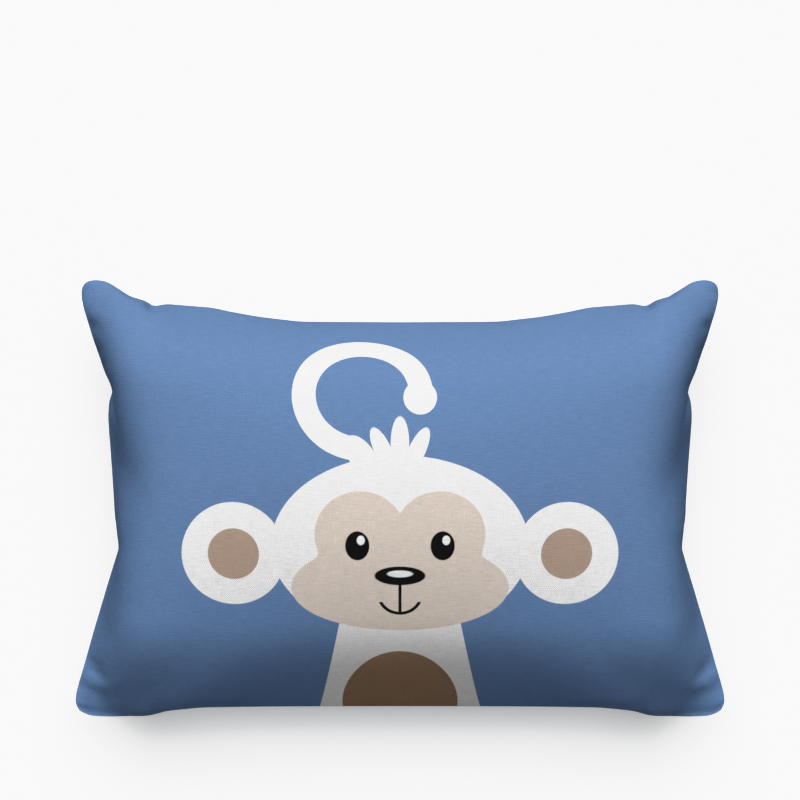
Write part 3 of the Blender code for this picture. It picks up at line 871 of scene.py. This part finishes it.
def fibre_material():
    """Loose white fibre: soft clumps and fine strands."""
    nodes = Nodes("polyester_fibre")
    place = object_place(nodes)
    clumps = nodes.noise(place, 0.06, 4.0)
    strands = nodes.noise(place, 1.2, 6.0)
    shade = nodes.add(0.74, nodes.times(clumps, 0.2))
    nodes.link(nodes.vector(shade, shade, shade), nodes.shader.inputs["Base Color"])
    relief = nodes.add(nodes.times(clumps, 6.0), strands)
    nodes.link(nodes.bump(relief, 0.6 * MM), nodes.shader.inputs["Normal"])
    nodes.shader.inputs["Roughness"].default_value = 0.95
    nodes.shader.inputs["Sheen Weight"].default_value = 0.3
    return nodes.material


def nylon_material():
    nodes = Nodes("nylon_coil")
    place = object_place(nodes)
    cloud = nodes.noise(place, 0.3, 3.0)
    shade = nodes.add(0.9, nodes.times(cloud, 0.2))
    tinted = nodes.tree.nodes.new("ShaderNodeVectorMath")
    tinted.operation = "SCALE"
    tinted.inputs[0].default_value = (0.075, 0.145, 0.31)
    nodes.link(shade, tinted.inputs["Scale"])
    nodes.link(tinted.outputs[0], nodes.shader.inputs["Base Color"])
    nodes.shader.inputs["Roughness"].default_value = 0.35
    nodes.link(nodes.bump(cloud, 0.02 * MM), nodes.shader.inputs["Normal"])
    return nodes.material


def metal_material():
    """Tumbled zinc, plated in dull nickel, with faint clouds and fine scratches."""
    nodes = Nodes("zip_metal")
    place = object_place(nodes)
    cloud = nodes.noise(place, 0.35, 3.0)
    scratch = nodes.noise(place, 4.0, 5.0)
    nodes.shader.inputs["Base Color"].default_value = (0.24, 0.24, 0.25, 1)
    nodes.shader.inputs["Metallic"].default_value = 1.0
    roughness = nodes.add(0.22, nodes.add(nodes.times(cloud, 0.12), nodes.times(scratch, 0.08)))
    nodes.link(roughness, nodes.shader.inputs["Roughness"])
    nodes.link(nodes.bump(scratch, 0.01 * MM), nodes.shader.inputs["Normal"])
    return nodes.material


# ---------------------------------------------------------------- zip and threads


def zip_point(x, depth, height):
    """A point of the zip: depth inwards from its lips, and height from the seam."""
    return (x, LIP_Y + depth, SEAM_Z + height)


def label_of(side):
    return "front" if side == FRONT else "back"


# The tape's section, as (depth, height) in millimetres, from behind the coil out to the cloth.
TAPE_BENDS = ((4.45, 0.7), (4.45, 2.4), (4.40, 4.0), (3.5, 5.3), (2.2, 6.8), (0.7, 8.7), (-0.9, 10.6))
TAPE_THICKNESS = 0.45 * MM


def tape_piece(side, material):
    """Half of the zip's tape, bent from behind the coil out to the cloth it is sewn to."""
    up = 1 if side == FRONT else -1
    bends = np.array(TAPE_BENDS) * MM
    xs = np.linspace(-CHAIN_HALF_LENGTH, CHAIN_HALF_LENGTH, 171)
    points = np.array([[zip_point(x, depth, up * height) for x in xs] for depth, height in bends])
    along = np.concatenate([[0], np.cumsum(np.linalg.norm(np.diff(bends, axis=0), axis=1))])
    uvs = np.stack(np.meshgrid(xs, along), axis=-1)
    piece = grid_object("zip_tape_ribbon_" + label_of(side), points, uvs, inside_out=side == BACK)
    thick = piece.modifiers.new("thick", "SOLIDIFY")
    thick.thickness = TAPE_THICKNESS
    thick.offset = 0
    finer = piece.modifiers.new("finer", "SUBSURF")
    finer.levels = finer.render_levels = 1
    add_piece(piece, "cover", "zip_tape", material, "zip_tape_" + label_of(side))


def coil_piece(side, material):
    """A row of nylon turns, wound along the zip."""
    up = 1 if side == FRONT else -1
    pitch, wire, steps = 1.5 * MM, 0.5 * MM, 10
    # The middle of a turn, as its depth and height, and how far its wire goes from there.
    depth, height = 3.2 * MM, 1.5 * MM
    depth_reach, height_reach = 0.44 * MM, 0.54 * MM
    stop_room = 3.5 * MM
    turns = int(2 * (CHAIN_HALF_LENGTH - stop_room) / pitch)
    line = []
    for k in range(turns * steps + 1):
        angle = 2 * math.pi * k / steps
        x = (k / steps - turns / 2) * pitch
        turned = up * (height + height_reach * math.sin(angle))
        line.append(zip_point(x, depth + depth_reach * math.cos(angle), turned))
    piece = curve_object("zip_coil_turns_" + label_of(side), [line], wire)
    add_piece(piece, "cover", "nylon_coil", material, "zip_coil_" + label_of(side))


def stitch_row(side, material):
    """The stitches that hold a tape, standing a little out of the cloth beside its lip."""
    up = 1 if side == FRONT else -1
    pitch, length = 3.2 * MM, 2.6 * MM
    row_half_length = 172 * MM
    depth, height = -2.1 * MM, 5.9 * MM
    # The middle of a stitch stands out by stand, and its ends go sink into the cloth.
    stand, sink = 0.28 * MM, 0.12 * MM
    count = int(2 * row_half_length / pitch)
    lines = []
    for k in range(count):
        middle = (k - (count - 1) / 2) * pitch
        line = []
        for share in np.linspace(-1, 1, 6):
            rise = stand * (1 - share**4) - sink
            x = middle + share * length / 2
            line.append(zip_point(x, depth - rise, up * (height - 0.6 * rise)))
        lines.append(line)
    piece = curve_object("zip_stitches_" + label_of(side), lines, 0.35 * MM)
    add_piece(piece, "cover", "sewing_thread", material, "zip_stitching_" + label_of(side))


def bartack(label, material):
    """A dense zigzag that ties the lips together beyond the end of the zip."""
    low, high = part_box("zip_bartack_" + label)
    passes, inside = 9, 0.3 * MM
    line = []
    for k in range(passes + 1):
        x = low[0] + (high[0] - low[0]) * k / passes
        z = (low[2] + inside, high[2] - inside)[k % 2]
        line.append((x, (low[1] + high[1]) / 2, z))
    piece = curve_object("zip_bartack_stitches_" + label, [line], 0.32 * MM)
    add_piece(piece, "cover", "sewing_thread", material, "zip_bartack_" + label)


def overlock(name, node, outline, inset, reach, pitch, material):
    """Thread wound round the raw edges of a seam: a flattened helix that follows the outline."""
    line = []
    steps = np.linalg.norm(np.diff(outline, axis=0), axis=1)
    along = np.concatenate([[0], np.cumsum(steps)])
    quarter = pitch / 4
    places = np.arange(0, along[-1], quarter)
    half_height = 1.3 * MM
    x, y = (np.interp(places, along, outline[:, axis]) for axis in range(2))
    tangent = np.stack([np.gradient(x), np.gradient(y)], axis=1)
    tangent /= np.linalg.norm(tangent, axis=1, keepdims=True)
    inwards = np.stack([-tangent[:, 1], tangent[:, 0]], axis=1)
    for k in range(len(places)):
        depth = inset + (0, reach, reach, 0)[k % 4]
        height = (-half_height, -half_height, half_height, half_height)[k % 4]
        line.append((x[k] + inwards[k, 0] * depth, y[k] + inwards[k, 1] * depth, SEAM_Z + height))
    piece = curve_object(name, [line], 0.3 * MM, sides=0)
    add_piece(piece, "cover", "sewing_thread", material, node)


def finish_metal(material):
    """The CAD's own metal pieces, with their edges rounded as tumbling leaves them."""
    for node in ("zip_slider", "zip_pull_tab", "zip_top_stop_front", "zip_top_stop_back", "zip_bottom_stop"):
        piece = bpy.data.objects[node]
        for slot in piece.material_slots:
            slot.material = material
        rounded = piece.modifiers.new("rounded", "BEVEL")
        rounded.width = 0.12 * MM
        rounded.segments = 2
        rounded.limit_method = "ANGLE"


def outline_of(grid, inset=0.0, from_x=0.0):
    """The outline of a grid, inset by about so much, anticlockwise from the middle of the bottom.

    Along the zip, where there is no seam, it is left out for |x| below from_x.
    """
    loop = np.concatenate([grid[0, :-1], grid[:-1, -1], grid[-1, :0:-1], grid[:0:-1, 0]])[:, :2]
    loop = loop * (1 - inset / np.array([HALF_WIDTH, HALF_HEIGHT]))
    loop = np.roll(loop, -((grid.shape[1] - 1) // 2), axis=0)
    loop = np.concatenate([loop, loop[:1]])
    return loop[(loop[:, 1] > 0) | (np.abs(loop[:, 0]) >= from_x)]


# ---------------------------------------------------------------- floor, light and camera

STUDIO_REACH = 6.0
VIEW_WIDTH = 600 * MM
# The camera stands over a point this far towards the cushion's top edge.
VIEW_Y = 73.9 * MM
LENS, SENSOR = 100, 36


def soft_sun(name, energy, spread, elevation, towards, floor, lights_floor):
    """A distant softbox for the floor or for the cushion: its spread and height are in degrees.

    It shines towards +Y or -Y. The floor has a steeper light of its own, so that its shadow stays short.
    """
    sun = bpy.data.lights.new(name, "SUN")
    sun.energy = energy
    sun.angle = math.radians(spread)
    lamp = bpy.data.objects.new(name, sun)
    height = math.radians(elevation)
    direction = Vector((0, towards * math.cos(height), -math.sin(height)))
    lamp.rotation_euler = direction.to_track_quat("-Z", "Y").to_euler()
    bpy.context.scene.collection.objects.link(lamp)
    linked = bpy.data.collections.new(name + "_linking")
    linked.objects.link(floor)
    linked.collection_objects[0].light_linking.link_state = "INCLUDE" if lights_floor else "EXCLUDE"
    lamp.light_linking.receiver_collection = linked


def plain_sheet(name, corners, faces):
    """A part of the studio, given in units of its half width."""
    mesh = bpy.data.meshes.new(name)
    mesh.from_pydata([[STUDIO_REACH * value for value in corner] for corner in corners], [], faces)
    made = bpy.data.objects.new(name, mesh)
    bpy.context.scene.collection.objects.link(made)
    return made


def highlights(view):
    """Holds the brightest whites a little below the top of the scale, as a photograph does."""
    view.view_transform = "Standard"
    view.use_curve_mapping = True
    mapping = view.curve_mapping
    mapping.white_level = (2, 2, 2)
    shoulder = mapping.curves[3]
    for level, shown in ((0.3, 0.62), (0.4, 0.82), (0.525, 0.905), (0.7, 0.955)):
        shoulder.points.new(level, shown)
    mapping.update()


def white_backdrop(name, paper_name, corners, faces, grey, glow, roughness, gloss):
    """A white part of the studio that throws no light and no shadow on the cushion."""
    backdrop = plain_sheet(name, corners, faces)
    paper = Nodes(paper_name)
    paper.shader.inputs["Base Color"].default_value = (grey, grey, grey, 1)
    paper.shader.inputs["Emission Color"].default_value = (1, 1, 1, 1)
    paper.shader.inputs["Emission Strength"].default_value = glow
    paper.shader.inputs["Roughness"].default_value = roughness
    paper.shader.inputs["Specular IOR Level"].default_value = gloss
    backdrop.data.materials.append(paper.material)
    backdrop.visible_diffuse = False
    backdrop.visible_shadow = False
    return backdrop


def stage():
    """A plain pale floor, a soft light from beyond the cushion's top edge, and a camera straight above."""
    scene = bpy.context.scene
    rim = [(-1, -1), (1, -1), (1, 1), (-1, 1)]
    corners = [(x, y, 0) for x, y in rim]
    looks = {"grey": 0.9, "glow": 0.33, "roughness": 0.9, "gloss": 0.1}
    floor = white_backdrop("floor", "floor_paper", corners, [(0, 1, 2, 3)], **looks)
    # The walls are far off, for the views from the side.
    corners = [(x, y, height) for height in (0, 1) for x, y in rim]
    faces = [(k, (k + 1) % 4, (k + 1) % 4 + 4, k + 4) for k in range(4)]
    looks = {"grey": 0.0, "glow": 1.4, "roughness": 0.5, "gloss": 0.5}
    white_backdrop("walls", "wall_paper", corners, faces, **looks)

    world = bpy.data.worlds.new("studio")
    world.use_nodes = True
    world.node_tree.nodes["Background"].inputs["Color"].default_value = (1, 1, 1, 1)
    world.node_tree.nodes["Background"].inputs["Strength"].default_value = 0.06
    scene.world = world
    soft_sun("key", energy=4.3, spread=34, elevation=47, towards=-1, floor=floor, lights_floor=False)
    soft_sun("fill", energy=0.55, spread=60, elevation=10, towards=1, floor=floor, lights_floor=False)
    soft_sun("floor_light", energy=4.1, spread=60, elevation=57, towards=-1, floor=floor, lights_floor=True)

    camera_data = bpy.data.cameras.new("camera")
    camera_data.lens = LENS
    camera_data.sensor_width = SENSOR
    camera = bpy.data.objects.new("camera", camera_data)
    camera.location = (0, VIEW_Y, SEAM_Z + VIEW_WIDTH * LENS / SENSOR)
    scene.collection.objects.link(camera)
    scene.camera = camera
    highlights(scene.view_settings)


def main():
    stage()
    filled = inflate()
    coarse = filled[:, ::2, ::2]
    thread = spun_thread("sewing_thread", (0.075, 0.15, 0.32))
    tape = plain_cloth("zip_tape", (0.07, 0.14, 0.30), pitch=0.6, roughness=0.75)
    nylon = nylon_material()
    cover(filled, printed_cloth(), plain_cloth("plain_cloth", BLUE))
    insert(coarse, plain_cloth("casing_cloth", (0.78, 0.78, 0.76), pitch=0.5), fibre_material())
    for side in (FRONT, BACK):
        tape_piece(side, tape)
        coil_piece(side, nylon)
        stitch_row(side, thread)
    for label in ("left", "right"):
        bartack(label, thread)
    finish_metal(metal_material())
    seam = (filled[FRONT] + filled[BACK]) / 2
    sewn = outline_of(seam, inset=9 * MM, from_x=ZIP_FADE_END)
    overlock("cover_overlock", "cover_seam_thread", sewn, 0, 3 * MM, 2.5 * MM, thread)
    edge = outline_of(shrunk(coarse, CASING_CELLS, CASING_INSET)[FRONT])
    overlock("insert_overlock", "insert_seam_thread", edge, -2.5 * MM, 3 * MM, 3 * MM, thread)


main()
